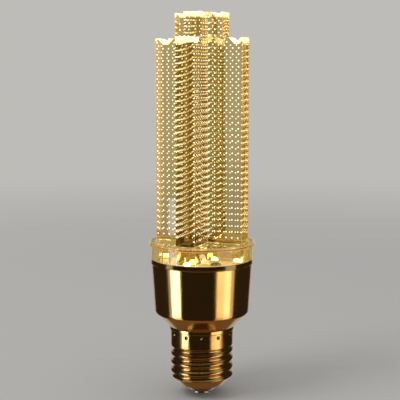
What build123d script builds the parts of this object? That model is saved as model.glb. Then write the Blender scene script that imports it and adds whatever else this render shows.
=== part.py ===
from build123d import *
import os

# Decorative screw-cap LED lamp. A clear acrylic light guide of plus section stands on a
# round flange, and its skirt snaps into a gold-plated cup housing with an E27 screw cap.
# Millimetres. The origin is the middle of the centre contact's flat face, +Z points to
# the tip of the light guide, and the guide's arms lie along X and Y.

# Screw cap
cap_radius = 13.1  # crest of the real cap's rolled thread, 26.2 mm across
shell_wall = 0.35
contact_radius = 4.2
contact_thickness = 1.3
contact_edge = 0.6  # chamfer
nail_radius = 1.2
nail_length = 5.6
insulator_face_radius = 4.7  # flat end of the insulator around the contact
rim_height = 4.1  # bottom rim of the shell above the contact's face
rim_radius = 9.1
sleeve_height = 19.6  # thread and plain band, from the end of the taper to the housing
insulator_thickness = 2.6
dent_count = 12
dent_first_angle = 22
dent_width = 1.3
dent_depth = 0.25
dent_below_edge = 1.5

# Housing
collar_height = 1.6
collar_lip = 0.4  # collar stands out past the cap's plain band
cone_step = 0.3
cone_height = 6.0
cup_flare = 1.6  # knee's radius below the mouth's
knee_edge = 0.8  # chamfer
cup_height = 22.4
mouth_radius = 21.3
mouth_wall = 1.2
mouth_edge = 0.35  # chamfer
housing_wall = 1.6
neck_clearance = 0.15  # housing neck inside the cap shell
neck_wall = 1.4
neck_length = 5.4
neutral_notch = 2.6  # cut up into the neck's lower edge
neutral_notch_width = 1.8
ledge_depth = 4.4  # ledge for the heat spreader, below the mouth
ledge_width = 1.9
post_radius = 2.6
post_circle_radius = 13.6
post_angles = (-45, 135)
rail_length = 4.0
rail_depth = 1.6
rail_reach = 2.2  # rails end this far inside the neck's bore

# Light guide
arm_thickness = 8.0
lower_half_span = 18.75
lower_height = 82.5
upper_half_span = 10.25
upper_height = 10.0
lower_groove_offset = 15.3  # middle of the V groove from the axis
lower_groove_depth = 2.6
upper_groove_offset = 7.7
upper_groove_depth = 1.9
flange_thickness = 1.5
flange_overhang = 0.85  # flange past the clear ring
flange_edge = 0.4  # chamfer
ring_height = 5.7
ring_inset = 0.15  # clear ring inside the housing's outside edge
ring_wall = 1.8
skirt_clearance = 0.15  # skirt inside the housing's mouth
skirt_wall = 1.4
skirt_length = 2.4
skirt_step = 0.8
rib_count = 3
rib_first_angle = -116
rib_width = 4.0
rib_depth = 0.65
rib_root = 0.3  # buried in the ring's wall
bead_height = 0.9
bead_depth = 0.35
bead_clearance = 0.1
foot_gap = 0.5  # foot of the guide above the light sources

# Light engine
spreader_thickness = 1.5
spreader_clearance = 0.2
board_thickness = 1.5
board_clearance = 0.3
wire_hole_radius = 2.4
wire_hole_offset = 9.0
wire_hole_angle = 45
led_length = 3.5
led_width = 2.8
led_height = 0.7
led_window_inset = 0.35
led_window_depth = 0.2
led_inner_offset = 6.0
led_edge_gap = 0.3
screw_radius = 1.2
screw_length = 7.5  # into the post
screw_tip_gap = 0.5
screw_head_radius = 2.2
screw_head_height = 1.6

# Driver. Levels are above the board's bottom edge.
driver_edge_gap = 1.2  # board's edges inside the neck's bore
driver_height = 32.0
driver_thickness = 1.0
driver_below_neck = 7.3
driver_clearance = 0.1
input_capacitor_radius = 4.0
input_capacitor_height = 10.5
input_capacitor_level = 26.0
output_capacitor_radius = 3.15
output_capacitor_height = 7.0
output_capacitor_level = 8.0
choke_radius = 4.0
choke_height = 7.0
choke_level = 16.0
chip_size = (4.9, 3.9, 1.5)  # length, width and height
chip_level = 23.0
diode_size = (4.3, 2.6, 2.2)
diode_level = 15.0
rectifier_size = (4.7, 3.9, 2.5)
rectifier_level = 8.0
package_taper = 5
fuse_radius = 1.5
fuse_length = 8.0
fuse_level = 2.5
fuse_offset = 3.5

# Leads
lead_radius = 0.6
lead_gap = 0.05
lead_spacing = 1.56  # the two leads side by side in the wire hole
lead_rise = 3.0  # straight stretch where a lead leaves or crosses
live_lead_offset = (-7.0, -5.0)
live_lead_level = 5.2
live_lead_climb = 7.5
led_lead_level = 28.5
led_lead_start = (7.6, 5.2)  # where the two leads leave the driver board
led_pad_offset = 13.2
neutral_angle = 60
neutral_reach = 3.0

# Heights, each worked out from the one below
taper_top = rim_height + (cap_radius - rim_radius)
shell_top = taper_top + sleeve_height
collar_top = shell_top + collar_height
knee_level = collar_top + cone_height
mouth_level = knee_level + cup_height
flange_bottom = mouth_level + ring_height
flange_top = flange_bottom + flange_thickness
lower_top = flange_top + lower_height
upper_top = lower_top + upper_height
ledge_level = mouth_level - ledge_depth
spreader_top = ledge_level + spreader_thickness
board_top = spreader_top + board_thickness
led_top = board_top + led_height
foot_level = led_top + foot_gap
dent_level = shell_top - dent_below_edge
neck_bottom = shell_top - neck_length
neutral_level = neck_bottom + neutral_notch / 2
driver_bottom = neck_bottom - driver_below_neck

# Radii of what fits into what
shell_inside = cap_radius - shell_wall
neck_radius = shell_inside - neck_clearance
neck_inside = neck_radius - neck_wall
driver_half_width = neck_inside - driver_edge_gap
collar_radius = cap_radius + collar_lip
knee_radius = mouth_radius - cup_flare
mouth_inside = mouth_radius - mouth_wall
ledge_inside = mouth_inside - ledge_width
ring_radius = mouth_radius - ring_inset
flange_radius = ring_radius + flange_overhang
skirt_radius = mouth_inside - skirt_clearance
skirt_inside = skirt_radius - skirt_wall
rib_inside = skirt_inside - rib_depth
rib_outside = ring_radius - ring_wall + rib_root
board_radius = rib_inside - board_clearance
foot_half_span = board_radius
led_outer_offset = board_radius - led_edge_gap - led_length / 2
spreader_radius = mouth_inside - spreader_clearance
snap_level = mouth_level - skirt_length / 2

os.makedirs("parts", exist_ok=True)


def finish_piece(piece, node_name):
    piece.part.label = node_name
    export_step(piece.part, f"parts/{node_name}.step")


def plus_section(half_span):
    Rectangle(2 * half_span, arm_thickness)
    Rectangle(arm_thickness, 2 * half_span)


def around_axis(distance, angle, level):
    return Vector(distance, 0, level).rotate(Axis.Z, angle)


# Centre contact: a flat-headed nail that clamps the live lead
with BuildPart() as centre_contact:
    Cylinder(contact_radius, contact_thickness, align=(Align.CENTER, Align.CENTER, Align.MIN))
    chamfer(centre_contact.edges().sort_by(Axis.Z)[0], contact_edge)
    with Locations((0, 0, contact_thickness)):
        Cylinder(nail_radius, nail_length, align=(Align.CENTER, Align.CENTER, Align.MIN))
finish_piece(centre_contact, "centre_contact")
nail_top = contact_thickness + nail_length

# Insulator: black glass cone that fills the bottom of the shell
insulator_top = rim_height + insulator_thickness
insulator_rim = rim_radius - shell_wall
with BuildPart() as cap_insulator:
    with BuildSketch(Plane.XZ):
        with BuildLine():
            Polyline(
                (nail_radius, contact_thickness),
                (insulator_face_radius, contact_thickness),
                (insulator_rim, rim_height),
                (insulator_rim + insulator_thickness, insulator_top),
                (nail_radius, insulator_top),
                close=True,
            )
        make_face()
    revolve(axis=Axis.Z)
finish_piece(cap_insulator, "cap_insulator")

# Shell: taper and sleeve of thin sheet. The sleeve is plain, at the radius of the crest of
# the real shell's rolled thread.
with BuildPart() as cap_shell:
    with BuildSketch(Plane.XZ):
        with BuildLine():
            Polyline(
                (rim_radius - shell_wall, rim_height),
                (rim_radius, rim_height),
                (cap_radius, taper_top),
                (cap_radius, shell_top),
                (shell_inside, shell_top),
                (shell_inside, taper_top),
                close=True,
            )
        make_face()
    revolve(axis=Axis.Z)
    # Punched dents hold the shell on the housing's neck: the back of each presses on the neck
    with PolarLocations(neck_radius, dent_count, start_angle=dent_first_angle):
        with Locations((0, 0, dent_level)):
            Box(
                shell_wall,
                dent_width + shell_wall,
                dent_width + shell_wall,
                align=(Align.MIN, Align.CENTER, Align.CENTER),
            )
    with PolarLocations(cap_radius, dent_count, start_angle=dent_first_angle):
        with Locations((0, 0, dent_level)):
            Box(2 * dent_depth, dent_width, dent_width, mode=Mode.SUBTRACT)
finish_piece(cap_shell, "cap_shell")

# Housing: one plated moulding of neck, collar, cone and cup, with a ledge and two posts
cone_foot = collar_radius + cone_step
post_root = post_circle_radius + post_radius + housing_wall / 2
post_bottom = collar_top + (post_root - cone_foot) * cone_height / (knee_radius - cone_foot)
with BuildPart() as housing:
    with BuildSketch(Plane.XZ) as housing_section:
        with BuildLine():
            Polyline(
                (neck_inside, neck_bottom),
                (neck_radius, neck_bottom),
                (neck_radius, shell_top),
                (collar_radius, shell_top),
                (collar_radius, collar_top),
                (cone_foot, collar_top),
                (knee_radius, knee_level),
                (mouth_radius, mouth_level),
                (mouth_inside, mouth_level),
                (mouth_inside, ledge_level),
                (ledge_inside, ledge_level),
                (ledge_inside, knee_level + housing_wall / 2),
                (neck_inside, collar_top + housing_wall / 2),
                close=True,
            )
        make_face()
        for corner, edge in (
            ((knee_radius, knee_level), knee_edge),
            ((mouth_radius, mouth_level), mouth_edge),
        ):
            chamfer(housing_section.vertices().sort_by_distance(corner)[0], edge)
    revolve(axis=Axis.Z)
    # Pockets inside the mouth for the light guide's snap beads
    with PolarLocations(mouth_inside, rib_count, start_angle=rib_first_angle):
        with Locations((0, 0, snap_level)):
            Box(
                2 * (bead_depth - skirt_clearance + bead_clearance),
                rib_width + 2 * bead_clearance,
                bead_height + 2 * bead_clearance,
                mode=Mode.SUBTRACT,
            )
    # Screw posts, rooted where the cone is wide enough to hold them
    with BuildSketch(Plane.XY.offset(post_bottom)):
        for angle in post_angles:
            with Locations(around_axis(post_circle_radius, angle, 0)):
                Circle(post_radius)
    extrude(amount=ledge_level - post_bottom)
    with BuildSketch(Plane.XY.offset(ledge_level)):
        for angle in post_angles:
            with Locations(around_axis(post_circle_radius, angle, 0)):
                Circle(screw_radius)
    extrude(amount=-screw_length - screw_tip_gap, mode=Mode.SUBTRACT)
    # Slotted rails in the neck hold the driver board
    rail_outer = neck_inside + neck_wall / 2
    with BuildSketch(Plane.XY.offset(neck_bottom)):
        for side in (-1, 1):
            with Locations((side * (rail_outer - rail_length / 2), 0)):
                Rectangle(rail_length, driver_thickness + 2 * rail_depth)
        Rectangle(
            2 * (driver_half_width + driver_clearance),
            driver_thickness + 2 * driver_clearance,
            mode=Mode.SUBTRACT,
        )
        Circle(neck_inside - rail_reach, mode=Mode.SUBTRACT)
    extrude(amount=neck_length)
    # Notch for the neutral lead under the shell's plain band
    with BuildSketch(Plane.XY.offset(neck_bottom)):
        with Locations(around_axis((neck_inside + neck_radius) / 2, neutral_angle, 0)):
            with Locations(Rotation(0, 0, neutral_angle)):
                Rectangle(2 * neck_wall, neutral_notch_width)
    extrude(amount=neutral_notch, mode=Mode.SUBTRACT)
finish_piece(housing, "housing")

# Light guide: stepped plus bar, flange, clear ring, snap skirt and foot in one moulding
with BuildPart() as light_guide:
    with BuildSketch(Plane.XY.offset(flange_top)):
        plus_section(lower_half_span)
    extrude(amount=lower_height)
    with BuildSketch(Plane.XY.offset(lower_top)):
        plus_section(upper_half_span)
    extrude(amount=upper_height)
    # V grooves across each arm turn the rising light sideways
    for groove_offset, groove_depth, level in (
        (lower_groove_offset, lower_groove_depth, lower_top),
        (upper_groove_offset, upper_groove_depth, upper_top),
    ):
        for across in (Plane.XZ, Plane.YZ):
            with BuildSketch(across):
                with Locations((-groove_offset, level), (groove_offset, level)):
                    Polygon((-groove_depth, 0), (0, -groove_depth), (groove_depth, 0), align=None)
            extrude(amount=arm_thickness / 2, both=True, mode=Mode.SUBTRACT)
    with BuildSketch(Plane.XY.offset(foot_level)):
        plus_section(foot_half_span)
    extrude(amount=flange_top - foot_level)
    with BuildSketch(Plane.XZ) as rim_section:
        with BuildLine():
            Polyline(
                (0, flange_bottom),
                (ring_radius - ring_wall, flange_bottom),
                (ring_radius - ring_wall, mouth_level),
                (skirt_inside, mouth_level - skirt_step),
                (skirt_inside, mouth_level - skirt_length),
                (skirt_radius, mouth_level - skirt_length),
                (skirt_radius, mouth_level),
                (ring_radius, mouth_level),
                (ring_radius, flange_bottom),
                (flange_radius, flange_bottom),
                (flange_radius, flange_top),
                (0, flange_top),
                close=True,
            )
        make_face()
        chamfer(
            rim_section.vertices().sort_by_distance((flange_radius, flange_top))[0], flange_edge
        )
    revolve(axis=Axis.Z)
    # Ribs behind the snap beads, and the beads
    with PolarLocations((rib_inside + rib_outside) / 2, rib_count, start_angle=rib_first_angle):
        with Locations((0, 0, mouth_level - skirt_length)):
            Box(
                rib_outside - rib_inside,
                rib_width,
                flange_bottom - mouth_level + skirt_length,
                align=(Align.CENTER, Align.CENTER, Align.MIN),
            )
    with PolarLocations(skirt_radius, rib_count, start_angle=rib_first_angle):
        with Locations((0, 0, snap_level)):
            Box(2 * bead_depth, rib_width, bead_height)
finish_piece(light_guide, "light_guide")

# Heat spreader: aluminium disc on the housing's ledge and posts
with BuildPart() as heat_spreader:
    with BuildSketch(Plane.XY.offset(ledge_level)):
        Circle(spreader_radius)
    extrude(amount=spreader_thickness)
    with Locations(Plane.XY.offset(spreader_top)):
        for angle in post_angles:
            with Locations(around_axis(post_circle_radius, angle, 0)):
                Hole(screw_radius, spreader_thickness)
        with Locations(around_axis(wire_hole_offset, wire_hole_angle, 0)):
            Hole(wire_hole_radius, spreader_thickness)
finish_piece(heat_spreader, "heat_spreader")

# Aluminium-core board with the light sources
with BuildPart() as led_board:
    with BuildSketch(Plane.XY.offset(spreader_top)):
        Circle(board_radius)
        for angle in post_angles:
            with Locations(around_axis(post_circle_radius, angle, 0)):
                Circle(screw_radius, mode=Mode.SUBTRACT)
        with Locations(around_axis(wire_hole_offset, wire_hole_angle, 0)):
            Circle(wire_hole_radius, mode=Mode.SUBTRACT)
    extrude(amount=board_thickness)
finish_piece(led_board, "led_board")

led_places = [
    (offset, turn) for turn in (0, 90, 180, 270) for offset in (led_inner_offset, led_outer_offset)
]
for number, (offset, turn) in enumerate(led_places, start=1):
    with BuildPart() as led:
        with BuildSketch(Plane(around_axis(offset, turn, board_top), around_axis(1, turn, 0))):
            Rectangle(led_length, led_width)
        extrude(amount=led_height)
        with BuildSketch(Plane(around_axis(offset, turn, led_top), around_axis(1, turn, 0))):
            Rectangle(led_length - 2 * led_window_inset, led_width - 2 * led_window_inset)
        extrude(amount=-led_window_depth, mode=Mode.SUBTRACT)
    finish_piece(led, f"led_{number}")

# Pan-head screws that hold the board and the spreader to the posts
with BuildPart() as board_screws:
    for angle in post_angles:
        with Locations(around_axis(post_circle_radius, angle, board_top)):
            Cylinder(screw_head_radius, screw_head_height, align=(Align.CENTER, Align.CENTER, Align.MIN))
            Cylinder(
                screw_radius,
                spreader_thickness + board_thickness + screw_length,
                align=(Align.CENTER, Align.CENTER, Align.MAX),
            )
finish_piece(board_screws, "board_screws")

# Driver board, upright in the neck and the cup
board_face = driver_thickness / 2
with BuildPart() as driver_board:
    with Locations((0, 0, driver_bottom)):
        Box(
            2 * driver_half_width,
            driver_thickness,
            driver_height,
            align=(Align.CENTER, Align.CENTER, Align.MIN),
        )
finish_piece(driver_board, "driver_board")

# The capacitors and the shielded choke stand on the board's front face, along -Y
for node_name, radius, height, level in (
    ("input_capacitor", input_capacitor_radius, input_capacitor_height, input_capacitor_level),
    ("output_capacitor", output_capacitor_radius, output_capacitor_height, output_capacitor_level),
    ("choke", choke_radius, choke_height, choke_level),
):
    with BuildPart() as can:
        with BuildSketch(Plane.XZ.offset(board_face)):
            with Locations((0, driver_bottom + level)):
                Circle(radius)
        extrude(amount=height)
    finish_piece(can, node_name)

# Flat packages lie on the board's back face, along +Y
for node_name, (length, width, height), level in (
    ("driver_chip", chip_size, chip_level),
    ("freewheel_diode", diode_size, diode_level),
    ("bridge_rectifier", rectifier_size, rectifier_level),
):
    with BuildPart() as package:
        with BuildSketch(Plane.XZ.offset(-board_face)):
            with Locations((0, driver_bottom + level)):
                Rectangle(length, width)
        extrude(amount=-height, taper=package_taper)
    finish_piece(package, node_name)

# Fuse resistor: a lacquered rod that lies on the board
with BuildPart() as fuse_resistor:
    with Locations((fuse_offset, -board_face - fuse_radius, driver_bottom + fuse_level)):
        Cylinder(fuse_radius, fuse_length, rotation=(0, 90, 0))
finish_piece(fuse_resistor, "fuse_resistor")


# An insulated lead, six-sided to keep its facets few
def lead_along(node_name, *points):
    with BuildPart() as lead:
        with BuildLine() as route:
            Polyline(*points)
        with BuildSketch(Plane(origin=route.line @ 0, z_dir=route.line % 0)):
            RegularPolygon(lead_radius, 6)
        sweep(transition=Transition.RIGHT)
    finish_piece(lead, node_name)


live_end = driver_bottom + live_lead_level
lead_along(
    "live_lead",
    (0, 0, nail_top),
    (0, 0, nail_top + lead_rise),
    (*live_lead_offset, live_end - live_lead_climb),
    (*live_lead_offset, live_end),
    (live_lead_offset[0], -board_face, live_end),
)
neutral_start = around_axis(shell_inside - lead_gap, neutral_angle, neutral_level)
neutral_turn = around_axis(neck_inside - neutral_reach, neutral_angle, neutral_level)
lead_along("neutral_lead", neutral_start, neutral_turn, (neutral_turn.X, board_face, neutral_level))
led_lead_height = driver_bottom + led_lead_level
for node_name, side, start in (
    ("led_lead_positive", -1, led_lead_start[0]),
    ("led_lead_negative", 1, led_lead_start[1]),
):
    sideways = around_axis(side * lead_spacing / 2, wire_hole_angle + 90, 0)
    hole = around_axis(wire_hole_offset, wire_hole_angle, 0) + sideways
    pad = around_axis(led_pad_offset, wire_hole_angle, 0) + sideways
    lead_along(
        node_name,
        (start, board_face, led_lead_height),
        (start, hole.Y, led_lead_height),
        (hole.X, hole.Y, ledge_level - lead_rise),
        (hole.X, hole.Y, board_top + lead_rise),
        (pad.X, pad.Y, board_top + lead_rise),
        (pad.X, pad.Y, board_top),
    )
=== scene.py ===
import math

import bmesh
import bpy
import numpy as np
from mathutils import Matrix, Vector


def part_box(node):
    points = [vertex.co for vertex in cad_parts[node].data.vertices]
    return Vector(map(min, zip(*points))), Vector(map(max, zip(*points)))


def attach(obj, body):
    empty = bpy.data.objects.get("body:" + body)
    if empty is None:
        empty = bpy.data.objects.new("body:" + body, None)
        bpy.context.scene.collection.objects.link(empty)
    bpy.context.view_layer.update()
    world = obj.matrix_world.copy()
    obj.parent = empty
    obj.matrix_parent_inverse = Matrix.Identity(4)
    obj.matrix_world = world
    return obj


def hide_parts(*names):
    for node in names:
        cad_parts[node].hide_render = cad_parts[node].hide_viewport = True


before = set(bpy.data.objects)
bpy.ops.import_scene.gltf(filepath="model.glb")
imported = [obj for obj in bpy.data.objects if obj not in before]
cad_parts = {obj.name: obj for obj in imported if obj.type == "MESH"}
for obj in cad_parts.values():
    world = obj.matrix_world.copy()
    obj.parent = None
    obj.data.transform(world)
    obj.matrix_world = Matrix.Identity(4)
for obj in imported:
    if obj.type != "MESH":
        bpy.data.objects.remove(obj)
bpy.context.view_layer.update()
print("frame loaded:", len(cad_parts), "nodes")

mm = 0.001
weldDistance = 0.001 * mm
scene = bpy.context.scene
scene.view_settings.view_transform = "Standard"


def linearColour(hexValue):
    # sRGB hex to linear: c / 12.92 below 0.04045, else ((c + 0.055) / 1.055) ** 2.4
    srgb = [int(hexValue[i:i + 2], 16) / 255 for i in (1, 3, 5)]
    return [c / 12.92 if c <= 0.04045 else ((c + 0.055) / 1.055) ** 2.4 for c in srgb] + [1.0]


def addNode(tree, kind, settings=None, links=None):
    # Settings go to the node's own properties or to its input sockets; links join sockets
    node = tree.nodes.new(kind)
    for name, value in (settings or {}).items():
        if isinstance(name, str) and hasattr(node, name):
            setattr(node, name, value)
        else:
            node.inputs[name].default_value = value
    for name, source in (links or {}).items():
        tree.links.new(source, node.inputs[name])
    return node


def newMaterial(name):
    material = bpy.data.materials.new(name)
    material.use_nodes = True
    material.node_tree.nodes.clear()
    return material, material.node_tree


def flatMesh(name, vertices, quads):
    # Mesh of quads a, b, c, d. Six times its volume is the sum of (a x b) . c + (a x c) . d, and
    # the faces are turned round where that is negative.
    a, b, c, d = (vertices[quads[:, k]] for k in range(4))
    if np.sum(np.cross(a, b) * c) + np.sum(np.cross(a, c) * d) < 0:
        quads = quads[:, ::-1]
    mesh = bpy.data.meshes.new(name)
    mesh.vertices.add(len(vertices))
    mesh.vertices.foreach_set("co", np.ascontiguousarray(vertices, dtype=np.float32).ravel())
    mesh.loops.add(quads.size)
    mesh.loops.foreach_set("vertex_index", np.ascontiguousarray(quads, dtype=np.int32).ravel())
    mesh.polygons.add(len(quads))
    mesh.polygons.foreach_set("loop_start", np.arange(0, quads.size, 4, dtype=np.int32))
    mesh.update(calc_edges=True)
    mesh.validate()
    return mesh


def meshFromGrid(name, points, closedRows=True, closedColumns=True):
    # points is rows x columns x 3. Each cell of the grid is one quad, and a closed direction
    # joins its last line to its first.
    rows, columns = points.shape[:2]
    i = np.arange(rows if closedRows else rows - 1)
    j = np.arange(columns if closedColumns else columns - 1)
    i, j = np.meshgrid(i, j, indexing="ij")
    iNext, jNext = (i + 1) % rows, (j + 1) % columns
    quads = np.stack([
        i * columns + j, i * columns + jNext, iNext * columns + jNext, iNext * columns + j,
    ], -1)
    return flatMesh(name, points.reshape(-1, 3), quads.reshape(-1, 4))


def weldMesh(mesh):
    # Closes poles and seams: points that coincide become one, and the normals turn outwards
    shape = bmesh.new()
    shape.from_mesh(mesh)
    bmesh.ops.remove_doubles(shape, verts=shape.verts, dist=weldDistance)
    bmesh.ops.recalc_face_normals(shape, faces=shape.faces)
    shape.to_mesh(mesh)
    shape.free()


def closedMesh(name, points):
    # Grid in millimetres whose first and last rows are poles, welded shut
    mesh = meshFromGrid(name, points * mm, closedRows=False)
    weldMesh(mesh)
    return mesh


def joinMeshes(name, meshes):
    # One mesh of several closed ones
    shape = bmesh.new()
    for mesh in meshes:
        shape.from_mesh(mesh)
    joined = bpy.data.meshes.new(name)
    shape.to_mesh(joined)
    shape.free()
    return joined


def addPiece(name, mesh, materials, sharpDegrees, nodes=()):
    # Smooth-shaded piece on the one body, in which edges over the sharp angle stay sharp
    mesh.polygons.foreach_set("use_smooth", np.ones(len(mesh.polygons), dtype=bool))
    mesh.set_sharp_from_angle(angle=math.radians(sharpDegrees))
    for material in materials:
        mesh.materials.append(material)
    piece = bpy.data.objects.new(name, mesh)
    scene.collection.objects.link(piece)
    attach(piece, "root")
    if nodes:
        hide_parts(*nodes)
    return piece


def circleSteps(count):
    # Even angles round a circle, as the columns of a grid
    return np.linspace(0, 2 * math.pi, count, endpoint=False)[None, :]


def roundGrid(radius, level, angle, centre=(0, 0)):
    # (centre x + radius * cos angle, centre y + radius * sin angle, level) all over the grid
    x = centre[0] + radius * np.cos(angle)
    y = centre[1] + radius * np.sin(angle)
    return np.stack(np.broadcast_arrays(x, y, level), -1)


def polarPlace(distance, degrees):
    # (x, y) at a distance from the axis, in a direction counted from +X
    angle = math.radians(degrees)
    return distance * math.cos(angle), distance * math.sin(angle)


def roundedOutline(corners, steps=8):
    # Closed outline of (radius, level, rounding) corners. A rounding is an arc tangent to both
    # sides: centre + rounding * (cos t, sin t), with t even between the tangent points. One more
    # point stands half a rounding away from each end, so that the flats stay flat when shaded.
    points = []
    for k, (x, z, rounding) in enumerate(corners):
        corner = np.array([x, z])
        before = np.array(corners[k - 1][:2]) - corner
        after = np.array(corners[(k + 1) % len(corners)][:2]) - corner
        if rounding == 0:
            points.append(corner)
            continue
        before, after = before / np.linalg.norm(before), after / np.linalg.norm(after)
        halfAngle = math.acos(np.clip(before @ after, -1, 1)) / 2
        reach = rounding / math.tan(halfAngle)
        middle = (before + after) / np.linalg.norm(before + after)
        centre = corner + middle * rounding / math.sin(halfAngle)
        start, end = corner + before * reach - centre, corner + after * reach - centre
        first, last = math.atan2(start[1], start[0]), math.atan2(end[1], end[0])
        turn = (last - first + math.pi) % (2 * math.pi) - math.pi
        angles = first + turn * np.linspace(0, 1, steps + 1)
        points.append(corner + before * (reach + rounding / 2))
        points.extend(centre + rounding * np.stack([np.cos(angles), np.sin(angles)], -1))
        points.append(corner + after * (reach + rounding / 2))
    return np.array(points)


# A noise's factor mostly lies between these
noiseRange = {"From Min": 0.3, "From Max": 0.7}

# Strengths of the bumps, and how deep the metals' pits are in millimetres
skinLook = {"metal": 0.35, "moulded": 0.5, "pitDepth": 0.02}


def metalSurface(name, base, darker, roughness, grain, pits, streak=1.0):
    # Plated or drawn metal: a mirror with slow tone changes and fine pits in the bump. A streak
    # over 1 flattens the pits to drawing lines that run round the axis.
    material, tree = newMaterial(name)
    place = addNode(tree, "ShaderNodeTexCoord").outputs["Object"]
    slow = addNode(
        tree, "ShaderNodeTexNoise", {"Scale": 1 / (grain * mm), "Detail": 3.0}, {"Vector": place}
    )
    tone = addNode(
        tree, "ShaderNodeMix",
        {"data_type": "RGBA", 6: linearColour(base), 7: linearColour(darker)},
        {"Factor": slow.outputs["Fac"]},
    )
    gloss = addNode(
        tree, "ShaderNodeMapRange",
        {**noiseRange, "To Min": roughness[0], "To Max": roughness[1]},
        {"Value": slow.outputs["Fac"]},
    )
    stretch = addNode(tree, "ShaderNodeMapping", {"Scale": (1, 1, streak)}, {"Vector": place})
    fine = addNode(
        tree, "ShaderNodeTexNoise", {"Scale": 1 / (pits * mm), "Detail": 2.0},
        {"Vector": stretch.outputs[0]},
    )
    bump = addNode(
        tree, "ShaderNodeBump",
        {"Strength": skinLook["metal"], "Distance": skinLook["pitDepth"] * mm},
        {"Height": fine.outputs["Fac"]},
    )
    shader = addNode(
        tree, "ShaderNodeBsdfPrincipled", {"Metallic": 1.0},
        {"Base Color": tone.outputs[2], "Roughness": gloss.outputs[0], "Normal": bump.outputs[0]},
    )
    addNode(tree, "ShaderNodeOutputMaterial", links={"Surface": shader.outputs[0]})
    return material


def mouldedSurface(name, base, darker, roughness, grain, depth=0.02, glow=("#ffffff", 0.0)):
    # Moulded, dipped or lacquered plastic: a slow tone change and a fine skin in the bump; a glow,
    # where given, is painted light
    material, tree = newMaterial(name)
    place = addNode(tree, "ShaderNodeTexCoord").outputs["Object"]
    noise = addNode(
        tree, "ShaderNodeTexNoise", {"Scale": 1 / (grain * mm), "Detail": 4.0}, {"Vector": place}
    )
    tone = addNode(
        tree, "ShaderNodeMix",
        {"data_type": "RGBA", 6: linearColour(base), 7: linearColour(darker)},
        {"Factor": noise.outputs["Fac"]},
    )
    bump = addNode(
        tree, "ShaderNodeBump",
        {"Strength": skinLook["moulded"], "Distance": depth * mm},
        {"Height": noise.outputs["Fac"]},
    )
    shader = addNode(
        tree, "ShaderNodeBsdfPrincipled",
        {
            "Roughness": roughness,
            "Emission Color": linearColour(glow[0]), "Emission Strength": glow[1],
        },
        {"Base Color": tone.outputs[2], "Normal": bump.outputs[0]},
    )
    addNode(tree, "ShaderNodeOutputMaterial", links={"Surface": shader.outputs[0]})
    return material


frostLook = {
    "unlit": "#fffaf0", "roughness": 0.7,
    "drift": 6.0,  # millimetres from a brighter to a darker place
    "spread": 0.15,  # how much brighter or darker, as a share
}


def frostedGlow(name, colour, strength):
    # Frosted place in the acrylic: rough and white, it sends the guided light out
    look = frostLook
    material, tree = newMaterial(name)
    place = addNode(tree, "ShaderNodeTexCoord").outputs["Object"]
    noise = addNode(
        tree, "ShaderNodeTexNoise", {"Scale": 1 / (look["drift"] * mm), "Detail": 1.0},
        {"Vector": place},
    )
    level = addNode(
        tree, "ShaderNodeMapRange",
        {
            **noiseRange,
            "To Min": (1 - look["spread"]) * strength, "To Max": (1 + look["spread"]) * strength,
        },
        {"Value": noise.outputs["Fac"]},
    )
    shader = addNode(
        tree, "ShaderNodeBsdfPrincipled",
        {
            "Base Color": linearColour(look["unlit"]), "Roughness": look["roughness"],
            "Emission Color": linearColour(colour),
        },
        {"Emission Strength": level.outputs[0]},
    )
    addNode(tree, "ShaderNodeOutputMaterial", links={"Surface": shader.outputs[0]})
    return material


ledLook = {
    "frame": "#f4f3ee", "phosphor": "#f3cf5a", "glow": "#ffe6b0", "strength": 22.0,
    "roughness": 0.45, "grainStrength": 0.4,
    "windowDepth": 0.2, "grainDepth": 0.02,  # millimetres
    "grain": 0.15,  # drawn coarser than the phosphor's own, which is too fine to show
}


def ledSurface(name):
    # White moulded frame round a window of yellow phosphor: the window is what faces up and
    # lies lower than the frame's top
    look = ledLook
    material, tree = newMaterial(name)
    place = addNode(tree, "ShaderNodeTexCoord").outputs["Object"]
    level = addNode(tree, "ShaderNodeSeparateXYZ", links={"Vector": place}).outputs["Z"]
    normal = addNode(tree, "ShaderNodeNewGeometry").outputs["Normal"]
    facing = addNode(tree, "ShaderNodeSeparateXYZ", links={"Vector": normal}).outputs["Z"]
    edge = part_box("led_1")[1].z - 0.5 * look["windowDepth"] * mm
    below = addNode(tree, "ShaderNodeMath", {"operation": "LESS_THAN", 1: edge}, {0: level})
    up = addNode(tree, "ShaderNodeMath", {"operation": "GREATER_THAN", 1: 0.5}, {0: facing})
    window = addNode(
        tree, "ShaderNodeMath", {"operation": "MULTIPLY"}, {0: below.outputs[0], 1: up.outputs[0]}
    )
    grain = addNode(
        tree, "ShaderNodeTexNoise", {"Scale": 1 / (look["grain"] * mm), "Detail": 2.0},
        {"Vector": place},
    )
    tone = addNode(
        tree, "ShaderNodeMix",
        {"data_type": "RGBA", 6: linearColour(look["frame"]), 7: linearColour(look["phosphor"])},
        {"Factor": window.outputs[0]},
    )
    strength = addNode(
        tree, "ShaderNodeMath", {"operation": "MULTIPLY", 1: look["strength"]},
        {0: window.outputs[0]},
    )
    bump = addNode(
        tree, "ShaderNodeBump",
        {"Strength": look["grainStrength"], "Distance": look["grainDepth"] * mm},
        {"Height": grain.outputs["Fac"]},
    )
    shader = addNode(
        tree, "ShaderNodeBsdfPrincipled",
        {"Roughness": look["roughness"], "Emission Color": linearColour(look["glow"])},
        {
            "Base Color": tone.outputs[2], "Emission Strength": strength.outputs[0],
            "Normal": bump.outputs[0],
        },
    )
    addNode(tree, "ShaderNodeOutputMaterial", links={"Surface": shader.outputs[0]})
    return material


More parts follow.
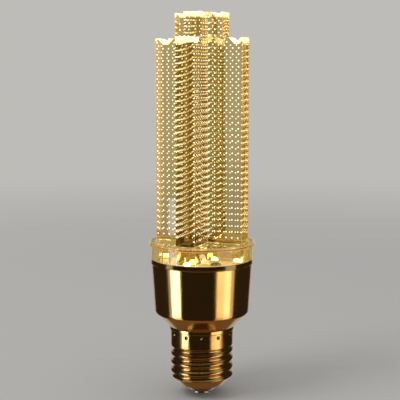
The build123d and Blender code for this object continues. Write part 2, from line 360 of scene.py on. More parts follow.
acrylicLook = {
    "paintedWarmTint": "#f6ecca", "roughness": 0.02, "ior": 1.49,
    # The absorption's colour is painted warmth too, for the warm light inside the acrylic
    "volume": "#d6c466", "density": 92.0,  # per metre
    "flow": 9.0, "flowDepth": 0.05, "flowStrength": 0.25,  # size and depth in millimetres
    # For each kind of face its material's name and its painted glow's colour and strength. The
    # glow stands in for the guided light, which leaves most at the tops and edges, less at the
    # ends of the arms along X and in the ring.
    "kinds": {
        "body": ("clearAcrylic", "#ffdf96", 0.015),
        "edge": ("litAcrylicEdge", "#ffe3a0", 0.4),
        "top": ("litAcrylicTop", "#fff4dc", 1.5),
        "end": ("litAcrylicEnd", "#ffc04e", 0.27),
        "ring": ("litAcrylicRing", "#ffdc66", 0.04),
        "rim": ("litAcrylicRim", "#e0862a", 0.3),
    },
}


def clearAcrylic(name, glow, strength):
    # One acrylic moulding, polished in the mould: clear and a little wavy where it flowed. Its
    # tint and absorption are painted warm, standing in for the warm light that fills it.
    look = acrylicLook
    material, tree = newMaterial(name)
    place = addNode(tree, "ShaderNodeTexCoord").outputs["Object"]
    flow = addNode(
        tree, "ShaderNodeTexNoise", {"Scale": 1 / (look["flow"] * mm), "Detail": 2.0},
        {"Vector": place},
    )
    bump = addNode(
        tree, "ShaderNodeBump",
        {"Strength": look["flowStrength"], "Distance": look["flowDepth"] * mm},
        {"Height": flow.outputs["Fac"]},
    )
    shader = addNode(
        tree, "ShaderNodeBsdfPrincipled",
        {
            "Base Color": linearColour(look["paintedWarmTint"]), "Roughness": look["roughness"],
            "IOR": look["ior"], "Transmission Weight": 1.0,
            "Emission Color": linearColour(glow), "Emission Strength": strength,
        },
        {"Normal": bump.outputs[0]},
    )
    volume = addNode(
        tree, "ShaderNodeVolumeAbsorption",
        {"Color": linearColour(look["volume"]), "Density": look["density"]},
    )
    addNode(
        tree, "ShaderNodeOutputMaterial",
        links={"Surface": shader.outputs[0], "Volume": volume.outputs[0]},
    )
    return material


# Roughness from and to, grain and pits in millimetres. Real pits are too fine to show, so they
# are drawn coarser.
metalFinishes = {
    # Gold metallised and lacquered plastic, moulded smooth: a soft mirror that shows the panels
    # as long bands, a little wavy
    "goldPlating": {
        "base": "#e3c384", "darker": "#d4ad66", "roughness": (0.1, 0.17), "grain": 14, "pits": 0.5,
    },
    # Thin aluminium, drawn, rolled and bright anodised: duller than the cup, with lines round it
    "goldAnodisedShell": {
        "base": "#e0bd7c", "darker": "#c99a52", "roughness": (0.14, 0.24), "grain": 5,
        "pits": 0.35, "streak": 3.0,
    },
    # Brass nail, headed cold and nickel plated: satin, slightly warm
    "nickelContact": {
        "base": "#c9c3b4", "darker": "#a8a295", "roughness": (0.25, 0.4), "grain": 3, "pits": 0.4,
    },
    # Rolled sheet, pressed and left bare: pale satin grey
    "pressedAluminium": {
        "base": "#cfcfd2", "darker": "#b5b5ba", "roughness": (0.3, 0.42), "grain": 6, "pits": 0.4,
    },
    # Steel screws, zinc plated in the barrel: darker grey with a dull shine
    "zincPlating": {
        "base": "#9b9da2", "darker": "#74767b", "roughness": (0.22, 0.36), "grain": 2,
        "pits": 0.3,
    },
}
metals = {name: metalSurface(name, **finish) for name, finish in metalFinishes.items()}

# Grain and its depth in millimetres. The ferrite's and the epoxy's are drawn coarser than they
# are, to show.
mouldedFinishes = {
    # Black glass, melted and pressed into the shell: deep gloss with faint waves
    "blackGlass": {
        "base": "#0b0b0d", "darker": "#17171a", "roughness": 0.12, "grain": 4, "depth": 0.03,
    },
    # White lacquer screened on the aluminium board, with a painted warm glow for the LEDs' light
    # on it
    "whiteSolderMaskPaintedGlow": {
        "base": "#f2f1ea", "darker": "#e3e2da", "roughness": 0.4, "grain": 3,
        "glow": ("#ffe2ac", 0.42),
    },
    # Glass cloth pressed in resin: straw colour, with a mottle of the cloth's size
    "glassFibreLaminate": {
        "base": "#b6a76a", "darker": "#9d8e52", "roughness": 0.5, "grain": 0.6,
    },
    # Dark blue plastic sleeve, shrunk on the can by heat: smooth with a soft shine
    "shrinkSleeve": {"base": "#1b2140", "darker": "#12172e", "roughness": 0.35, "grain": 3},
    # Pressed and sintered ferrite: grey black and grainy
    "sinteredFerrite": {
        "base": "#2a2a2d", "darker": "#1d1d1f", "roughness": 0.6, "grain": 0.4, "depth": 0.05,
    },
    # Epoxy moulded round the chips: black and matt with a fine grain
    "blackEpoxy": {"base": "#1a1a1b", "darker": "#101011", "roughness": 0.55, "grain": 0.3},
    # Lacquer dipped over the resistor: grey green, glossy and uneven
    "resistorLacquer": {"base": "#5a8a78", "darker": "#456f60", "roughness": 0.3, "grain": 1.2},
    # Insulation extruded on the leads: smooth, half glossy, faintly uneven
    "redInsulation": {"base": "#b3251f", "darker": "#9a1d18", "roughness": 0.4, "grain": 2},
    "blueInsulation": {"base": "#25489a", "darker": "#1c3a80", "roughness": 0.4, "grain": 2},
    "whiteInsulation": {"base": "#f1efe8", "darker": "#e2dfd6", "roughness": 0.4, "grain": 2},
}
moulded = {name: mouldedSurface(name, **finish) for name, finish in mouldedFinishes.items()}

# Acrylic: one material for each kind of face, and the place of each kind among a mesh's materials
acrylicMaterials = [clearAcrylic(*kind) for kind in acrylicLook["kinds"].values()]
acrylicIndex = {kind: index for index, kind in enumerate(acrylicLook["kinds"])}
# Pits burnt in by laser: each one lets some of the guided light out
dotGlow = frostedGlow("engravedDots", "#fff4de", 2.0)
# Frosted hollows over the lights: they fill with light and look like soft white spots
pocketGlow = frostedGlow("frostedPockets", "#fff6e0", 4.0)
# Lights: a white moulded frame filled with yellow phosphor in silicone, which shines
ledPackage = ledSurface("ledPackage")
print("materials made")

housingSizes = {  # millimetres and degrees
    "neckInside": 11.2, "neck": 12.6, "neckLength": 5.4,
    "collar": 13.5, "collarHeight": 1.6, "coneFoot": 13.8, "coneHeight": 6.0,
    "knee": 19.7, "mouth": 21.3, "mouthWall": 1.2, "wall": 1.6,
    "ledgeDepth": 4.4, "ledgeWidth": 1.9,
    "edgeRound": 0.25, "coneFootRound": 0.12, "kneeRound": 1.8,
    "lipHeight": 2.1, "lipStep": 0.3, "lipDraft": 0.25,
    "lipFootRound": 0.08, "lipRound": 0.15, "mouthRound": 0.12, "mouthInsideRound": 0.15,
    "post": 2.6, "postHole": 1.2, "postDepth": 8.0, "postCircle": 13.6, "postAngles": (-45, 135),
    "postRoot": 0.4,  # how deep the posts' feet go into the cone
    "railInside": 8.9, "railSlot": 10.1, "railOutside": 11.9, "railHalf": 2.1, "slotHalf": 0.6,
    "railStart": 0.05,
    "segments": 256, "postSegments": 64, "sharp": 35,
}


def housingLevels():
    # The neck's foot, the collar's top, the knee, the ledge and the mouth
    s = housingSizes
    low, high = (corner.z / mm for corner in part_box("housing"))
    collarTop = low + s["neckLength"] + s["collarHeight"]
    return low, collarTop, collarTop + s["coneHeight"], high - s["ledgeDepth"], high


def cupMesh():
    # Neck, collar, cone, cup and lip outside, then the ledge and the core inside, as one closed
    # outline turned round the axis
    s = housingSizes
    low, collarTop, kneeLevel, ledge, high = housingLevels()
    collarFoot = collarTop - s["collarHeight"]
    mouthInside = s["mouth"] - s["mouthWall"]
    ledgeInside = mouthInside - s["ledgeWidth"]
    lipFoot = high - s["lipHeight"]
    outline = roundedOutline([
        (s["neckInside"], low, 0), (s["neck"], low, 0), (s["neck"], collarFoot, 0),
        (s["collar"], collarFoot, s["edgeRound"]), (s["collar"], collarTop, s["edgeRound"]),
        (s["coneFoot"], collarTop, s["coneFootRound"]), (s["knee"], kneeLevel, s["kneeRound"]),
        (s["mouth"] - s["lipStep"], lipFoot, s["lipFootRound"]),
        (s["mouth"], lipFoot + s["lipStep"], s["lipRound"]),
        (s["mouth"] - s["lipDraft"], high, s["mouthRound"]),
        (mouthInside, high, s["mouthInsideRound"]),
        (mouthInside, ledge, 0), (ledgeInside, ledge, 0),
        (ledgeInside, kneeLevel + s["wall"] / 2, 0),
        (s["neckInside"], collarTop + s["wall"] / 2, 0),
    ]) * mm
    return meshFromGrid(
        "cup", roundGrid(outline[:, :1], outline[:, 1:], circleSteps(s["segments"]))
    )


def postMesh(degrees):
    # A post round its own axis. Its foot, the rows marked 0, follows the cone: the cone's inner
    # level at that distance from the bulb's axis, less the root.
    s = housingSizes
    collarTop, kneeLevel, ledge = housingLevels()[1:4]
    ledgeInside = s["mouth"] - s["mouthWall"] - s["ledgeWidth"]
    slope = (kneeLevel - collarTop) / (ledgeInside - s["neckInside"])
    holeFloor = ledge - s["postDepth"]
    radius = np.array([0, s["post"], s["post"], s["postHole"], s["postHole"], 0])[:, None]
    level = np.array([0, 0, ledge, ledge, holeFloor, holeFloor])[:, None]
    points = roundGrid(
        radius, level, circleSteps(s["postSegments"]), polarPlace(s["postCircle"], degrees)
    )
    away = np.hypot(points[..., 0], points[..., 1])
    outside = np.maximum(away, s["neckInside"]) - s["neckInside"]
    foot = collarTop + s["wall"] / 2 + slope * outside - s["postRoot"]
    points[..., 2] = np.where(level == 0, foot, level)
    return closedMesh("post", points)


def railMesh(side):
    # A slotted rail: the four stations of a U, each a rectangle between the slot's wall and the
    # rail's outside, from the neck's foot to the collar. The ends close in their middles.
    s = housingSizes
    low = housingLevels()[0]
    inner = np.array([
        [s["railInside"], s["slotHalf"]], [s["railSlot"], s["slotHalf"]],
        [s["railSlot"], -s["slotHalf"]], [s["railInside"], -s["slotHalf"]],
    ])
    outer = np.array([
        [s["railInside"], s["railHalf"]], [s["railOutside"], s["railHalf"]],
        [s["railOutside"], -s["railHalf"]], [s["railInside"], -s["railHalf"]],
    ])
    flat = np.stack([inner, inner, outer, outer], 1) * [side, 1]
    level = low + np.array([s["railStart"], s["neckLength"], s["neckLength"], s["railStart"]])
    walls = np.concatenate([flat, np.tile(level[None, :, None], (4, 1, 1))], -1)
    ends = walls[[0, -1]].mean(1, keepdims=True).repeat(4, 1)
    return closedMesh("rail", np.concatenate([ends[:1], walls, ends[1:]]))


housingMesh = joinMeshes("housing", [
    cupMesh(),
    *(postMesh(degrees) for degrees in housingSizes["postAngles"]),
    *(railMesh(side) for side in (-1, 1)),
])
addPiece(
    "goldHousing", housingMesh, [metals["goldPlating"]],
    housingSizes["sharp"], ["housing"],
)
print("housing made")

shellSizes = {  # millimetres and degrees
    "crest": 13.08, "depth": 0.98, "pitch": 25.4 / 7, "wall": 0.35,
    "rim": 9.1, "band": 13.1, "threadTop": 21.4, "ramp": 0.8, "taperTop": 8.1,
    "dents": 12, "dentPhase": 22.0, "dentLevel": 26.2, "dentRadius": 0.95, "dentDepth": 0.35,
    "blend": 0.12, "edgeRound": 0.14,
    "edgeStart": 0.25, "edgeRows": (0.14, 0.09, 0.05, 0.02, 0.0),  # below the top
    "columns": 384, "rows": 150, "innerRows": 44, "sharp": 60,
}


def softMin(a, b, blend):
    # The lower of two surfaces, with a round of the blend's size where they cross
    h = np.clip(0.5 + 0.5 * (b - a) / blend, 0, 1)
    return b + (a - b) * h - blend * h * (1 - h)


def shellRadius(angle, level, low, high):
    # Two tangent arcs make one right-handed thread, as far from the axis as
    # crest - (arc - sqrt(arc^2 - x^2)), x the distance along the axis from the nearest crest;
    # the 45 degree taper cuts it below and the ramp takes it up to the plain band above.
    s = shellSizes
    arc = ((s["pitch"] / 4) ** 2 + (s["depth"] / 2) ** 2) / s["depth"]
    turns = (level - s["taperTop"]) / s["pitch"] - angle / (2 * math.pi)
    fromCrest = np.abs(turns - np.round(turns)) * s["pitch"]
    crestPart = s["crest"] - arc + np.sqrt(np.clip(arc ** 2 - fromCrest ** 2, 0, None))
    rootPart = (
        s["crest"] - s["depth"] + arc
        - np.sqrt(np.clip(arc ** 2 - (s["pitch"] / 2 - fromCrest) ** 2, 0, None))
    )
    thread = np.where(fromCrest < s["pitch"] / 4, crestPart, rootPart)
    ramp = s["band"] + (s["depth"] / s["ramp"]) * np.minimum(level - s["threadTop"], 0)
    radius = -softMin(-thread, -ramp, s["blend"])
    taper = s["rim"] + level - low
    radius = softMin(radius, taper, s["blend"])
    radius = np.minimum(radius, s["band"])
    # Punched dents, a cosine bowl each
    sector = 2 * math.pi / s["dents"]
    turned = angle - math.radians(s["dentPhase"])
    across = ((turned / sector + 0.5) % 1 - 0.5) * sector * s["band"]
    away = np.sqrt(across ** 2 + (level - s["dentLevel"]) ** 2) / s["dentRadius"]
    radius = radius - s["dentDepth"] * (0.5 + 0.5 * np.cos(math.pi * np.clip(away, 0, 1)))
    # Rounded top edge: edgeRound - sqrt(edgeRound^2 - x^2) over the last edgeRound
    x = np.clip(s["edgeRound"] - (high - level), 0, s["edgeRound"])
    return radius - s["edgeRound"] + np.sqrt(s["edgeRound"] ** 2 - x ** 2)


def shellGrid():
    # The sheet's outside from the rim up, then its inside back down, one wall nearer the axis
    s = shellSizes
    low, high = (corner.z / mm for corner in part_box("cap_shell"))
    angle = circleSteps(s["columns"])
    plain = np.linspace(low, high - s["edgeStart"], s["rows"])
    outer = np.concatenate([plain, high - np.array(s["edgeRows"])])[:, None]
    inner = np.linspace(high, low, s["innerRows"])[:, None]
    radius = np.concatenate([
        shellRadius(angle, outer, low, high), shellRadius(angle, inner, low, high) - s["wall"],
    ])
    return roundGrid(radius, np.concatenate([outer, inner]), angle) * mm


addPiece(
    "goldCapShell", meshFromGrid("capShell", shellGrid()), [metals["goldAnodisedShell"]],
    shellSizes["sharp"], ["cap_shell"],
)
print("cap shell made")

guideSizes = {  # millimetres and degrees
    "arm": 8.0, "lowerSpan": 18.75, "upperSpan": 10.25, "lowerHeight": 82.5, "upperHeight": 10.0,
    "lowerGroove": (15.3, 2.6), "upperGroove": (7.7, 1.9),  # middle from the axis, and depth
    "rim": 21.6,  # what lies farther out is the flange's rim
    "grooveMargin": 0.1, "footMargin": 1.0,  # how far past groove and foot the kinds change
    "endHalf": 1.0,  # the middles of the arms' ends along X lie this near Y = 0
    "edge": 0.22, "edgeAngle": 40, "flatAngle": 0.5, "sharp": 30,
}


def guideMesh():
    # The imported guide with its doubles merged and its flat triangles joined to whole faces. Each
    # face gets its kind of acrylic from where it lies and which way it looks.
    s = guideSizes
    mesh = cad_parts["light_guide"].data.copy()
    mesh.name = "lightGuide"
    mesh.materials.clear()
    shape = bmesh.new()
    shape.from_mesh(mesh)
    bmesh.ops.remove_doubles(shape, verts=shape.verts, dist=weldDistance)
    bmesh.ops.dissolve_limit(
        shape, angle_limit=math.radians(s["flatAngle"]), verts=shape.verts, edges=shape.edges
    )
    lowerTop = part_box("light_guide")[1].z - s["upperHeight"] * mm
    grooveFoot = lowerTop - (s["lowerGroove"][1] + s["grooveMargin"]) * mm
    armFoot = lowerTop - (s["lowerHeight"] - s["footMargin"]) * mm
    for face in shape.faces:
        middle = face.calc_center_median()
        outermost = math.hypot(middle.x, middle.y) > s["rim"] * mm
        inMiddle = abs(middle.y) < s["endHalf"] * mm
        kind = "body"
        if face.normal.z > 0.5 and middle.z > grooveFoot:
            kind = "top"
        elif middle.z < armFoot:
            kind = "rim" if outermost and abs(face.normal.z) < 0.5 else "ring"
        # Painted glow: only the ends of the arms along X, seen at a slant, get the end glow; the
        # ends along Y stay body
        elif abs(face.normal.x) > 0.9 and inMiddle:
            kind = "end"
        face.material_index = acrylicIndex[kind]
    shape.to_mesh(mesh)
    shape.free()
    return mesh


guide = addPiece(
    "acrylicGuide", guideMesh(), acrylicMaterials,
    guideSizes["sharp"], ["light_guide"],
)
edgeBevel = guide.modifiers.new("mouldedEdge", "BEVEL")
edgeBevel.width = guideSizes["edge"] * mm
edgeBevel.segments = 2
edgeBevel.limit_method = "ANGLE"
edgeBevel.angle_limit = math.radians(guideSizes["edgeAngle"])
edgeBevel.material = acrylicIndex["edge"]
edgeBevel.harden_normals = True
print("light guide made")

dotSizes = {  # millimetres and degrees
    "columnPitch": 2.5, "rowPitch": 2.45, "columnStart": 1.9, "rowStart": 1.95,
    "radius": 0.3, "thickness": 0.15,
    "skin": 0.5,  # how deep the dots lie below the arm's face
    "sideMargin": 0.5, "roofMargin": 1.0, "firstRow": 2.0,
    "columns": range(-10, 10), "rows": range(40),
    "sides": 6, "rings": 5, "sharp": 80,
}


def beadShape():
    # Low round bead: (cos t * cos u, sin t * cos u, sin u), poles closed
    t = circleSteps(dotSizes["sides"])
    u = np.linspace(-math.pi / 2, math.pi / 2, dotSizes["rings"])[:, None]
    return roundGrid(np.cos(u), np.sin(u), t)


def dotPlaces(rowShift):
    # Every crossing of the columns and the rows that has guide around it, as (offset, level)
    s, g = dotSizes, guideSizes
    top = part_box("light_guide")[1].z / mm
    lowerTop = top - g["upperHeight"]
    foot = lowerTop - g["lowerHeight"]
    column = np.array(s["columns"]) * s["columnPitch"] + s["columnStart"]
    row = top - s["rowStart"] - (np.array(s["rows"]) + rowShift) * s["rowPitch"]
    offset, level = (a.ravel() for a in np.meshgrid(column, row))
    side = np.abs(offset)

    def roof(height, groove):
        return height - np.clip(groove[1] - np.abs(side - groove[0]), 0, None)

    inLower = (
        (side < g["lowerSpan"] - s["sideMargin"])
        & (level < roof(lowerTop, g["lowerGroove"]) - s["roofMargin"])
    )
    inUpper = (
        (side < g["upperSpan"] - s["sideMargin"]) & (level > lowerTop - s["roofMargin"])
        & (level < roof(top, g["upperGroove"]) - s["roofMargin"])
    )
    keep = (inLower | inUpper) & (level > foot + s["firstRow"])
    return np.stack([offset[keep], level[keep]], -1)


def dotMesh(name, planes):
    # The bead at every place of each plane. A plane is the axis that its arm runs along, the
    # side that its face looks to and the shift of its rows.
    s, g = dotSizes, guideSizes
    bead = beadShape()
    rings, sides = bead.shape[:2]
    dots = []
    for axis, side, rowShift in planes:
        places = dotPlaces(rowShift)
        along = places[:, 0, None, None] + s["radius"] * bead[None, :, :, 0]
        upright = places[:, 1, None, None] + s["radius"] * bead[None, :, :, 1]
        depth = side * (g["arm"] / 2 - s["skin"]) + s["thickness"] * bead[None, :, :, 2]
        depth = depth + 0 * along
        order = (along, depth, upright) if axis == "x" else (depth, along, upright)
        dots.append(np.stack(order, -1).reshape(-1, rings * sides, 3))
    dots = np.concatenate(dots)
    i, j = np.meshgrid(np.arange(rings - 1), np.arange(sides), indexing="ij")
    jNext = (j + 1) % sides
    quad = np.stack([
        i * sides + j, i * sides + jNext, (i + 1) * sides + jNext, (i + 1) * sides + j,
    ], -1).reshape(-1, 4)
    quads = quad[None] + (np.arange(len(dots)) * rings * sides)[:, None, None]
    mesh = flatMesh(name, dots.reshape(-1, 3) * mm, quads.reshape(-1, 4))
    weldMesh(mesh)
    print(name, len(dots), "dots")
    return mesh


# The camera sees the faces at -Y and +X as the front ones. Their rows lie half a pitch higher
# than those of the faces at +Y and -X.
for name, planes in (
    ("engravedDotsBack", [("x", 1, 0.5), ("y", -1, 0.5)]),
    ("engravedDotsFront", [("x", -1, 0), ("y", 1, 0)]),
):
    addPiece(name, dotMesh(name, planes), [dotGlow], dotSizes["sharp"])
print("dots made")

pocketSizes = {  # millimetres and degrees
    "radius": 1.55, "height": 1.2, "inner": 6.0, "outer": 15.55,
    "lift": 0.5,  # from the lights' tops to the pockets' floors
    "arms": (0, 90, 180, 270),
    "sides": 24, "rings": 7, "sharp": 50,
}


def pocketMesh():
    # Domed pockets in the guide's foot over the lights: radius * cos u outwards and
    # height * sin u upwards, closed by a flat floor
    s = pocketSizes
    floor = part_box("led_1")[1].z / mm + s["lift"]
    t = circleSteps(s["sides"])
    u = np.linspace(0, math.pi / 2, s["rings"])[:, None]
    radius = np.concatenate([[[0.0]], s["radius"] * np.cos(u)])
    level = np.concatenate([[[0.0]], s["height"] * np.sin(u)]) + floor
    return joinMeshes("lensPockets", [
        closedMesh("pocket", roundGrid(radius, level, t, polarPlace(distance, degrees)))
        for degrees in s["arms"] for distance in (s["inner"], s["outer"])
    ])


addPiece(
    "litLensPockets", pocketMesh(), [pocketGlow], pocketSizes["sharp"]
)
print("pockets over the lights made")

screwSizes = {  # millimetres and degrees; the screws stand in the housing's posts
    "clearance": 0.01, "head": 2.2, "headHeight": 1.6,
    "pitch": 0.8, "threadDepth": 0.2, "tip": 0.6, "rowsPerPitch": 8,
    "recess": 0.75, "slotWidth": 0.3, "slotLength": 1.15, "soft": 0.1,
    "domeEnd": 0.6, "domeRows": 12,  # in radians, where the recess's finer rows take over
    "recessRadius": 1.2, "recessRows": 22,
    "segments": 72, "sharp": 40,
}


def crossDepth(x, y, width, length, soft):
    # A cross of two slots: 1 inside, 0 outside, with a linear slope of the soft width between
    inner = np.minimum(np.abs(x), np.abs(y))
    outer = np.maximum(np.abs(x), np.abs(y))
    return np.clip((width - inner) / soft, 0, 1) * np.clip((length - outer) / (2 * soft), 0, 1)


def screwMesh(degrees):
    # Shank radius = hole - depth * |2 * frac(level / pitch - t / 2pi) - 1|, and a pan head
    # level = foot + height * sqrt(1 - (radius / head)^4) less the cross recess
    s = screwSizes
    low, high = (corner.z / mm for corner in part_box("board_screws"))
    foot = high - s["headHeight"]
    hole = housingSizes["postHole"] - s["clearance"]
    t = circleSteps(s["segments"])
    rise = np.arange(low + s["tip"], foot, s["pitch"] / s["rowsPerPitch"])[:, None]
    wave = np.abs(2 * ((rise / s["pitch"] - t / (2 * math.pi)) % 1) - 1)
    shank = hole - s["threadDepth"] * wave
    dome = np.concatenate([
        s["head"] * np.sin(np.linspace(math.pi / 2, s["domeEnd"], s["domeRows"])),
        np.linspace(s["recessRadius"], 0, s["recessRows"]),
    ])[:, None] + 0 * t
    cross = crossDepth(
        dome * np.cos(t), dome * np.sin(t), s["slotWidth"], s["slotLength"], s["soft"]
    )
    height = s["headHeight"] * np.sqrt(np.clip(1 - (dome / s["head"]) ** 4, 0, 1))
    flat = 0 * t
    radius = np.concatenate([flat, shank, hole + flat, dome])
    level = np.concatenate([
        low + flat, rise + flat, foot + flat, foot + height - s["recess"] * cross,
    ])
    place = polarPlace(housingSizes["postCircle"], degrees)
    return closedMesh("screw", roundGrid(radius, level, t, place))


screws = joinMeshes("screws", [screwMesh(degrees) for degrees in housingSizes["postAngles"]])
addPiece(
    "panHeadScrews", screws, [metals["zincPlating"]], screwSizes["sharp"],
    ["board_screws"],
)
print("screws made")

driverShapes = {  # millimetres; corners are (radius, level above the circuit board, rounding)
    "input_capacitor": {
        "corners": [
            (0, 0, 0), (3.8, 0, 0.3), (4.0, 0.9, 0.2), (4.0, 1.6, 0.25), (3.7, 2.0, 0.2),
            (4.0, 2.4, 0.25), (4.0, 10.5, 0.5), (3.2, 10.5, 0.06), (3.1, 10.3, 0.06),
        ],
        "ventReach": 2.4,
    },
    "output_capacitor": {
        "corners": [
            (0, 0, 0), (2.95, 0, 0.25), (3.15, 0.7, 0.15), (3.15, 1.2, 0.2), (2.9, 1.5, 0.15),
            (3.15, 1.8, 0.2), (3.15, 7.0, 0.4), (2.5, 7.0, 0.06), (2.4, 6.8, 0.06),
        ],
        "ventReach": 1.8,
    },
    "choke": {
        "corners": [
            (0, 0, 0), (4.0, 0, 0.4), (4.0, 7.0, 0.5), (2.9, 7.0, 0.1), (2.9, 6.5, 0.08),
            (2.5, 6.5, 0.08), (2.5, 6.8, 0.1),
        ],
    },
    "fuse_resistor": {
        "corners": [
            (0, 0, 0), (1.5, 0, 0.5), (1.5, 1.9, 0.4), (1.25, 2.5, 0.4), (1.25, 5.5, 0.4),
            (1.5, 6.1, 0.4), (1.5, 8.0, 0.5),
        ],
    },
}
driverSizes = {  # millimetres and degrees
    "ventDepth": 0.15, "ventWidth": 0.1, "ventSoft": 0.12, "topBand": 0.1,
    "segments": 64, "topRows": 24, "sharp": 40,
}


def driverPart(node):
    # Turned shape (radius * cos t, radius * sin t, level) whose axis is the board's normal, or
    # lies along X for the fuse resistor. A cross is scored into a capacitor's bare top.
    s = driverSizes
    corners = driverShapes[node]["corners"]
    reach = driverShapes[node].get("ventReach")
    topRadius, topLevel = corners[-1][:2]
    low, high = (np.array(corner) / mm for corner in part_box(node))
    middle = (low + high) / 2
    outline = roundedOutline([*corners, (0, topLevel, 0)])[:-1]
    top = np.linspace(outline[-1][0], 0, s["topRows"])[1:]
    outline = np.concatenate([outline, np.stack([top, 0 * top + outline[-1][1]], -1)])
    t = circleSteps(s["segments"])
    level = outline[:, 1:] + 0 * t
    across, up = outline[:, :1] * np.cos(t), outline[:, :1] * np.sin(t)
    if reach:
        cross = crossDepth(across, up, s["ventWidth"], reach, s["ventSoft"])
        level = level - s["ventDepth"] * cross * (level > topLevel - s["topBand"])
    if node == "fuse_resistor":
        points = (low[0] + level, middle[1] + across, middle[2] + up)
    else:
        points = (middle[0] + across, high[1] - level, middle[2] + up)
    mesh = closedMesh(node, np.stack(points, -1))
    if reach:
        centres = np.empty(3 * len(mesh.polygons), dtype=np.float32)
        mesh.polygons.foreach_get("center", centres)
        x, y, z = centres.reshape(-1, 3).T / mm
        bare = (np.hypot(x - middle[0], z - middle[2]) < topRadius) & (y < middle[1])
        mesh.polygons.foreach_set("material_index", bare.astype(np.int32))
    return mesh


canMaterials = [moulded["shrinkSleeve"], metals["pressedAluminium"]]
for node, name, materials, slot in (
    ("input_capacitor", "inputCapacitor", canMaterials, "capacitor_sleeve"),
    ("output_capacitor", "outputCapacitor", canMaterials, "capacitor_sleeve"),
    ("choke", "shieldedChoke", [moulded["sinteredFerrite"]], "ferrite"),
    ("fuse_resistor", "fuseResistor", [moulded["resistorLacquer"]], "resistor_coat"),
):
    addPiece(name, driverPart(node), materials, driverSizes["sharp"], [node])
print("driver parts made")

ledCount = 8
nodeMaterials = {
    "cap_insulator": moulded["blackGlass"],
    "centre_contact": metals["nickelContact"],
    "heat_spreader": metals["pressedAluminium"],
    "led_board": moulded["whiteSolderMaskPaintedGlow"],
    "driver_board": moulded["glassFibreLaminate"],
    "driver_chip": moulded["blackEpoxy"],
    "freewheel_diode": moulded["blackEpoxy"],
    "bridge_rectifier": moulded["blackEpoxy"],
    "live_lead": moulded["redInsulation"],
    "neutral_lead": moulded["blueInsulation"],
    "led_lead_positive": moulded["whiteInsulation"],
    "led_lead_negative": moulded["whiteInsulation"],
    **{f"led_{n}": ledPackage for n in range(1, ledCount + 1)},
}
for node, material in nodeMaterials.items():
    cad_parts[node].data.materials.clear()
    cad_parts[node].data.materials.append(material)
print("materials given to the other nodes")

stageLook = {  # metres and degrees
    "camera": 21.0,  # round from the front
    "floor": "#d2d0cc", "backdrop": "#bebcb8", "soft": "#f3f4f6", "softStrength": 0.6,
    "floorRings": (0.0005, 0.1, 0.3, 0.9, 3.0), "floorSegments": 96,
    "floorLevel": -0.0002,  # just under the contact
    "fadeStart": 0.25, "fadeEnd": 0.9,  # where the floor turns to backdrop
    "underside": "#7a5c44", "undersideLevel": -0.7,
    "undersideRings": (0.0005, 0.4, 0.85), "undersideSegments": 48,
    "panelDistance": 0.6, "cardDistance": 0.8, "cardRows": 6, "cardColumns": 24,
    "keyPlace": (-0.45, -0.55, 0.95), "keySize": 0.5, "keyRadiance": 4.0,
}
# Panels and cards stand round the bulb, aside of the camera by these degrees, to the picture's
# right where positive. A band's foot is weaker and warmer, so that it fades down the cup.
panels = {
    "panelLeft": {
        "aside": -63, "span": 24, "low": -0.19, "high": 0.0, "radiance": 4.8,
        "colour": "#e9f0ff",
    },
    "panelLeftFoot": {
        "aside": -63, "span": 24, "low": -0.5, "high": -0.19, "radiance": 1.5,
        "colour": "#ffefd8",
    },
    "panelRight": {
        "aside": 52, "span": 36, "low": -0.2, "high": 0.0, "radiance": 1.7,
        "colour": "#fff0dc",
    },
    "panelRightFoot": {
        "aside": 52, "span": 36, "low": -0.5, "high": -0.2, "radiance": 0.85,
        "colour": "#ffd29a",
    },
    "panelWarm": {
        "aside": 74.5, "span": 9, "low": -0.5, "high": 0.0, "radiance": 0.45,
        "colour": "#ffa860",
    },
}
cards = {
    "cardFront": {"aside": -7, "span": 120, "low": -0.7, "high": 1.6, "tone": "#2c251c"},
    "cardLeft": {"aside": -117, "span": 66, "low": -0.7, "high": 0.9, "tone": "#302920"},
    "cardRight": {"aside": 114, "span": 70, "low": -0.7, "high": 0.9, "tone": "#302920"},
}


def clearRays(tree):
    # 1 for the camera's rays and for those that mirrors and glass send on
    seen = addNode(tree, "ShaderNodeLightPath")
    either = addNode(
        tree, "ShaderNodeMath", {"operation": "MAXIMUM"},
        {0: seen.outputs["Is Camera Ray"], 1: seen.outputs["Is Glossy Ray"]},
    )
    return addNode(
        tree, "ShaderNodeMath", {"operation": "MAXIMUM"},
        {0: either.outputs[0], 1: seen.outputs["Is Transmission Ray"]},
    ).outputs[0]


def discMesh(name, rings, level, segments):
    # A level disc: rings of (radius * cos t, radius * sin t)
    ring = np.array(rings)[:, None]
    return meshFromGrid(name, roundGrid(ring, level, circleSteps(segments)), closedRows=False)


def stageFloor():
    # Paper under the bulb that turns to plain backdrop farther out
    s = stageLook
    mesh = discMesh("floor", s["floorRings"], s["floorLevel"], s["floorSegments"])
    material, tree = newMaterial("paperFloor")
    place = addNode(tree, "ShaderNodeTexCoord").outputs["Object"]
    away = addNode(tree, "ShaderNodeVectorMath", {"operation": "LENGTH"}, {0: place})
    fade = addNode(
        tree, "ShaderNodeMapRange",
        {
            "From Min": s["fadeStart"], "From Max": s["fadeEnd"],
            "interpolation_type": "SMOOTHSTEP",
        },
        {"Value": away.outputs["Value"]},
    )
    factor = addNode(
        tree, "ShaderNodeMath", {"operation": "MULTIPLY"},
        {0: fade.outputs[0], 1: clearRays(tree)},
    )
    paper = addNode(tree, "ShaderNodeBsdfDiffuse", {"Color": linearColour(s["floor"])})
    far = addNode(tree, "ShaderNodeEmission", {"Color": linearColour(s["backdrop"])})
    mix = addNode(
        tree, "ShaderNodeMixShader",
        links={0: factor.outputs[0], 1: paper.outputs[0], 2: far.outputs[0]},
    )
    addNode(tree, "ShaderNodeOutputMaterial", links={"Surface": mix.outputs[0]})
    mesh.materials.append(material)
    floor = bpy.data.objects.new("floor", mesh)
    floor.visible_glossy = False  # the metal mirrors the backdrop and the panels instead
    scene.collection.objects.link(floor)


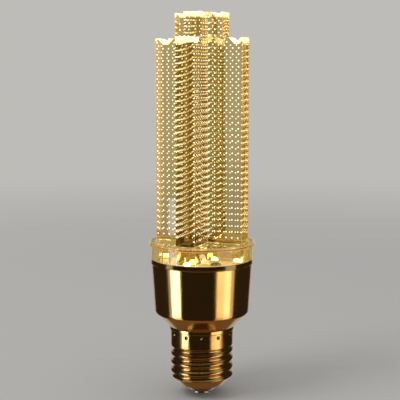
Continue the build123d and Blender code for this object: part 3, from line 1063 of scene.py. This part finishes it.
def stageWorld():
    # Pale backdrop for the camera, mirrors and glass, and a plain soft light for the rest
    s = stageLook
    world = bpy.data.worlds.new("studio")
    world.use_nodes = True
    tree = world.node_tree
    tree.nodes.clear()
    soft = addNode(
        tree, "ShaderNodeBackground",
        {"Color": linearColour(s["soft"]), "Strength": s["softStrength"]},
    )
    backdrop = addNode(tree, "ShaderNodeBackground", {"Color": linearColour(s["backdrop"])})
    mix = addNode(
        tree, "ShaderNodeMixShader",
        links={0: clearRays(tree), 1: soft.outputs[0], 2: backdrop.outputs[0]},
    )
    addNode(tree, "ShaderNodeOutputWorld", links={"Surface": mix.outputs[0]})
    scene.world = world


def addLamp(name, place, turn, radiance, area, **settings):
    # Area lamp that the camera doesn't see. Its power is radiance * pi * area.
    lamp = bpy.data.lights.new(name, "AREA")
    for setting, value in settings.items():
        setattr(lamp, setting, value)
    lamp.energy = radiance * math.pi * area
    holder = bpy.data.objects.new(name, lamp)
    holder.location, holder.rotation_euler = place, turn
    holder.visible_camera = False
    scene.collection.objects.link(holder)
    return holder


def stagePanel(name, aside, span, low, high, radiance, colour):
    # Upright soft panel, which the metal mirrors as a bright band
    azimuth = math.radians(stageLook["camera"] + aside)
    distance = stageLook["panelDistance"]
    width = 2 * distance * math.tan(math.radians(span / 2))
    addLamp(
        name, (distance * math.sin(azimuth), -distance * math.cos(azimuth), (low + high) / 2),
        (math.radians(90), 0, azimuth), radiance, width * (high - low),
        shape="RECTANGLE", size=width, size_y=high - low, color=linearColour(colour)[:3],
    )


def stageKey():
    # Soft lamp high on the left, for the shadow on the floor. Mirrors don't see it.
    s = stageLook
    x, y, z = s["keyPlace"]
    turn = (math.atan2(math.hypot(x, y), z), 0, math.atan2(x, -y))
    key = addLamp(
        "key", s["keyPlace"], turn, s["keyRadiance"], math.pi * s["keySize"] ** 2 / 4,
        shape="DISK", size=s["keySize"],
    )
    key.visible_glossy = False


def addCard(name, mesh, tone):
    # A card in one tone that only mirrors see
    material, tree = newMaterial(name)
    plain = addNode(tree, "ShaderNodeEmission", {"Color": linearColour(tone)})
    addNode(tree, "ShaderNodeOutputMaterial", links={"Surface": plain.outputs[0]})
    mesh.materials.append(material)
    card = bpy.data.objects.new(name, mesh)
    card.visible_camera = card.visible_diffuse = card.visible_shadow = False
    card.visible_transmission = card.visible_volume_scatter = False
    scene.collection.objects.link(card)


def stageCard(name, aside, span, low, high, tone):
    # Dark card, part of a drum round the axis, (distance * sin t, -distance * cos t, level): it
    # gives the plated metal its dark stretches beside the panels
    s = stageLook
    middle = math.radians(s["camera"] + aside)
    t = middle + math.radians(span / 2) * np.linspace(-1, 1, s["cardColumns"])[None, :]
    level = np.linspace(low, high, s["cardRows"])[:, None]
    points = roundGrid(s["cardDistance"], level, t - math.pi / 2)
    addCard(name, meshFromGrid(name, points, closedRows=False, closedColumns=False), tone)


def stageUnderside():
    # Brown card far below the floor, which the undersides of the cone and the thread mirror
    s = stageLook
    name = "cardUnderside"
    mesh = discMesh(name, s["undersideRings"], s["undersideLevel"], s["undersideSegments"])
    addCard(name, mesh, s["underside"])


stageFloor()
stageWorld()
for name, panel in panels.items():
    stagePanel(name, **panel)
for name, card in cards.items():
    stageCard(name, **card)
stageUnderside()
stageKey()

cameraView = {
    "distance": 0.386, "height": 0.1324,  # metres
    "tilt": 7.5, "yaw": 0.115,  # degrees, downwards and to the left
    "lens": 85.05, "sensor": 36,  # millimetres
}
cameraAngle = math.radians(stageLook["camera"])
cameraData = bpy.data.cameras.new("camera")
cameraData.lens, cameraData.sensor_width = cameraView["lens"], cameraView["sensor"]
camera = bpy.data.objects.new("camera", cameraData)
camera.location = (
    cameraView["distance"] * math.sin(cameraAngle),
    -cameraView["distance"] * math.cos(cameraAngle),
    cameraView["height"],
)
camera.rotation_euler = (
    math.radians(90 - cameraView["tilt"]), 0, cameraAngle + math.radians(cameraView["yaw"])
)
scene.collection.objects.link(camera)
scene.camera = camera
print("stage, light and camera made")
